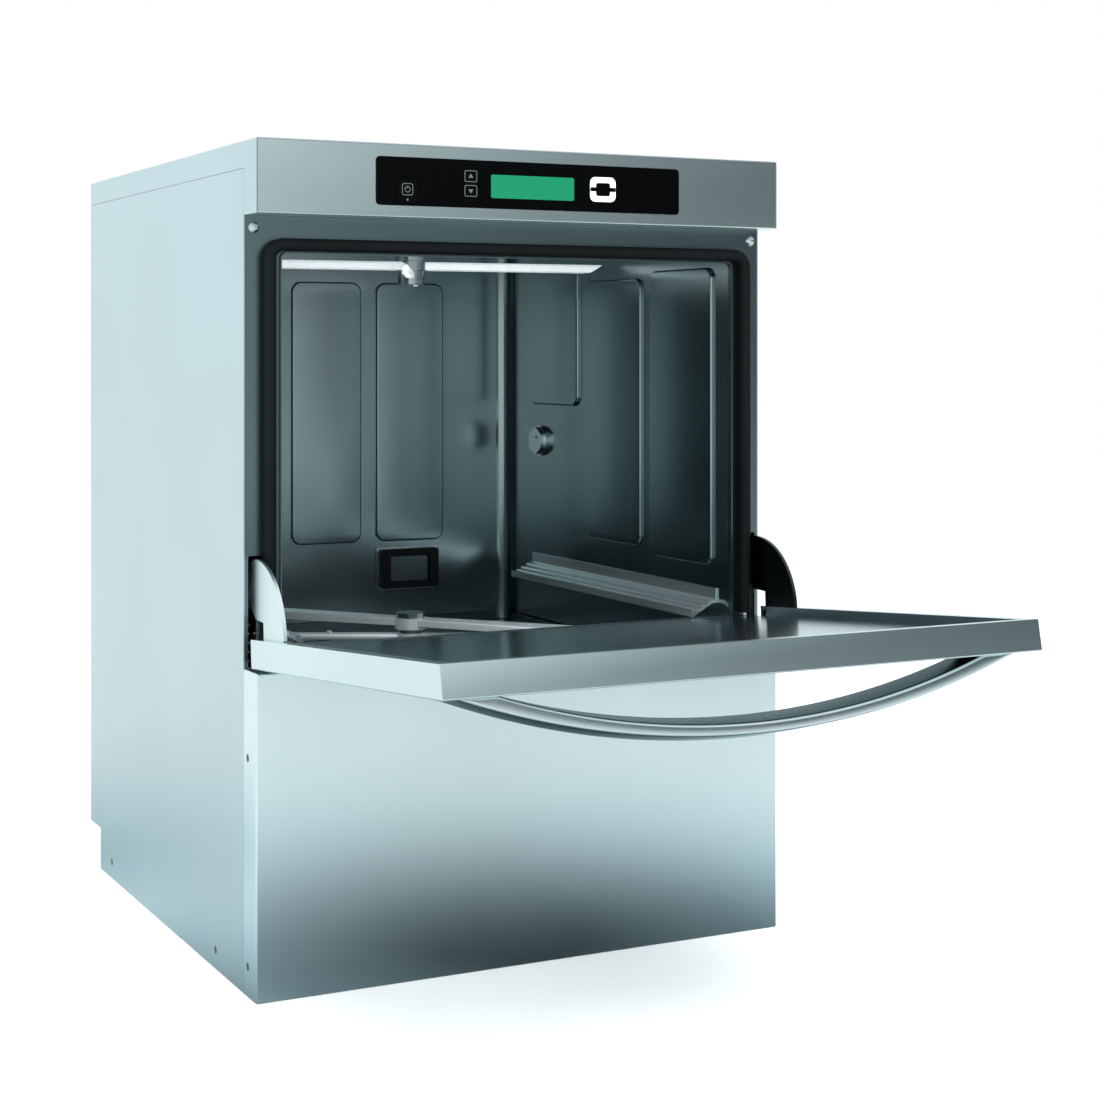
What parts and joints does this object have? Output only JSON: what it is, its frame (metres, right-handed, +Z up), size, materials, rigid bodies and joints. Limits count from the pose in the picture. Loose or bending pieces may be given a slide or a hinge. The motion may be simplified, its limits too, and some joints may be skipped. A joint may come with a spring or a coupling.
{
  "type": "glass washer machine",
  "caption": "Under-counter commercial glass washer with a drop-down door on hinge arms, a bow handle, rotating spray arms and a front control panel.",
  "frame": {"origin": "on the floor, at the centre of the cabinet footprint", "axes": "+X to the right seen from the front, +Y to the back, +Z up; the open door points to -Y"},
  "size_m": [0.6, 1.0259, 0.835],
  "materials": {
    "brushed_panel": "fine brushed stainless sheet",
    "galvanised_panel": "dull rolled sheet",
    "base_steel": "dull rolled sheet",
    "chamber_steel": "bright rolled stainless sheet",
    "liner_steel": "bright rolled stainless sheet",
    "rail_steel": "satin stainless",
    "arm_steel": "polished stainless",
    "spindle_steel": "polished stainless",
    "handle_steel": "satin polished stainless",
    "hinge_steel": "satin stainless plate",
    "pin_steel": "ground steel",
    "screw_steel": "darkened steel",
    "seal_rubber": "matt black rubber",
    "overlay_black": "satin black film",
    "display_green": "lit green glass",
    "button_white": "white moulded plastic",
    "circuit_board": "green circuit board",
    "hood_black": "black moulded plastic",
    "fitting_grey": "grey moulded plastic",
    "heater_steel": "heat-tinted tube",
    "motor_paint": "dark grey paint",
    "pump_plastic": "glass-filled plastic",
    "hose_rubber": "black hose",
    "boiler_steel": "satin stainless",
    "inlet_brass": "machined brass",
    "grey_plastic": "grey moulded plastic",
    "foot_plastic": "black moulded plastic"
  },
  "bodies": {
    "cabinet": {"back_panel": "galvanised_panel", "base_frame": "base_steel", "cable_gland": "grey_plastic", "control_board": "circuit_board", "control_fascia": "brushed_panel", "control_overlay": "overlay_black", "cover_screws": "screw_steel", "display_module": "display_green", "door_gasket": "seal_rubber", "door_springs": "pin_steel", "door_surround_frame": "chamber_steel", "dosing_pump": "grey_plastic", "drain_pump": "pump_plastic", "drain_spigot": "grey_plastic", "electrical_box": "grey_plastic", "hinge_brackets": "hinge_steel", "hinge_pins": "pin_steel", "lower_front_panel": "brushed_panel", "lower_spindle": "spindle_steel", "overflow_hood_frame": "hood_black", "overflow_hood_plate": "liner_steel", "rack_rails": "rail_steel", "rinse_boiler": "boiler_steel", "service_recess_plate": "galvanised_panel", "side_panel_left": "brushed_panel", "side_panel_right": "brushed_panel", "tank_heater": "heater_steel", "top_cover": "brushed_panel", "tub_back_wall": "chamber_steel", "tub_ceiling": "chamber_steel", "tub_left_wall": "chamber_steel", "tub_right_wall": "chamber_steel", "upper_spindle": "spindle_steel", "wall_fitting": "fitting_grey", "wash_pipes": "hose_rubber", "wash_pump_motor": "motor_paint", "wash_pump_volute": "pump_plastic", "wash_tank": "chamber_steel", "water_inlet_valve": "inlet_brass"},
    "door": {"door_outer_skin": "brushed_panel", "door_inner_liner": "liner_steel", "door_handle": "handle_steel", "hinge_arm_left": "hinge_steel", "hinge_arm_right": "hinge_steel"},
    "upper_wash_arm": {"upper_wash_arm": "arm_steel"},
    "upper_rinse_arm": {"upper_rinse_arm": "arm_steel"},
    "lower_wash_arm": {"lower_wash_arm": "arm_steel"},
    "lower_rinse_arm": {"lower_rinse_arm": "arm_steel"},
    "power_button": {"power_button": "overlay_black"},
    "select_up_button": {"select_up_button": "overlay_black"},
    "select_down_button": {"select_down_button": "overlay_black"},
    "start_button": {"start_button": "button_white"},
    "filter_tray": {"filter_tray": "liner_steel"},
    "overflow_standpipe": {"overflow_standpipe": "fitting_grey"},
    "pump_impeller": {"pump_impeller": "pump_plastic"},
    "dosing_rotor": {"dosing_rotor": "grey_plastic"},
    "foot_front_left": {"foot_front_left": "foot_plastic"},
    "foot_front_right": {"foot_front_right": "foot_plastic"},
    "foot_back_left": {"foot_back_left": "foot_plastic"},
    "foot_back_right": {"foot_back_right": "foot_plastic"}
  },
  "joints": [
    {"name": "door_hinge", "type": "hinge", "parent": "cabinet", "child": "door", "pos_m": [0, -0.2935, 0.33], "axis": [-1, 0, 0], "range_deg": [0, 85], "deforming": ["door_springs"]},
    {"name": "upper_wash_arm_spin", "type": "hinge", "parent": "cabinet", "child": "upper_wash_arm", "pos_m": [0, 0.005, 0.727], "axis": [0, 0, 1], "continuous": true},
    {"name": "upper_rinse_arm_spin", "type": "hinge", "parent": "cabinet", "child": "upper_rinse_arm", "pos_m": [0, 0.005, 0.717], "axis": [0, 0, 1], "continuous": true},
    {"name": "lower_wash_arm_spin", "type": "hinge", "parent": "cabinet", "child": "lower_wash_arm", "pos_m": [0, 0.005, 0.314], "axis": [0, 0, 1], "continuous": true},
    {"name": "lower_rinse_arm_spin", "type": "hinge", "parent": "cabinet", "child": "lower_rinse_arm", "pos_m": [0, 0.005, 0.296], "axis": [0, 0, 1], "continuous": true},
    {"name": "power_button_press", "type": "slide", "parent": "cabinet", "child": "power_button", "axis": [0, 1, 0], "range_m": [0, 0.0008], "stiffness_N_per_m": 800, "springref_m": -0.0004},
    {"name": "select_up_button_press", "type": "slide", "parent": "cabinet", "child": "select_up_button", "axis": [0, 1, 0], "range_m": [0, 0.0008], "stiffness_N_per_m": 800, "springref_m": -0.0004},
    {"name": "select_down_button_press", "type": "slide", "parent": "cabinet", "child": "select_down_button", "axis": [0, 1, 0], "range_m": [0, 0.0008], "stiffness_N_per_m": 800, "springref_m": -0.0004},
    {"name": "start_button_press", "type": "slide", "parent": "cabinet", "child": "start_button", "axis": [0, 1, 0], "range_m": [0, 0.0008], "stiffness_N_per_m": 800, "springref_m": -0.0004},
    {"name": "filter_tray_lift", "type": "slide", "parent": "cabinet", "child": "filter_tray", "axis": [0, 0, 1], "range_m": [0, 0.01]},
    {"name": "standpipe_lift", "type": "slide", "parent": "cabinet", "child": "overflow_standpipe", "axis": [0, 0, 1], "range_m": [0, 0.15]},
    {"name": "impeller_spin", "type": "hinge", "parent": "cabinet", "child": "pump_impeller", "pos_m": [-0.06, -0.1225, 0.095], "axis": [1, 0, 0], "continuous": true},
    {"name": "dosing_rotor_spin", "type": "hinge", "parent": "cabinet", "child": "dosing_rotor", "pos_m": [0.232, 0.0275, 0.11], "axis": [0, 1, 0], "continuous": true},
    {"name": "foot_front_left_screw", "type": "slide", "parent": "cabinet", "child": "foot_front_left", "axis": [0, 0, -1], "range_m": [0, 0.025]},
    {"name": "foot_front_right_screw", "type": "slide", "parent": "cabinet", "child": "foot_front_right", "axis": [0, 0, -1], "range_m": [0, 0.025]},
    {"name": "foot_back_left_screw", "type": "slide", "parent": "cabinet", "child": "foot_back_left", "axis": [0, 0, -1], "range_m": [0, 0.025]},
    {"name": "foot_back_right_screw", "type": "slide", "parent": "cabinet", "child": "foot_back_right", "axis": [0, 0, -1], "range_m": [0, 0.025]}
  ]
}
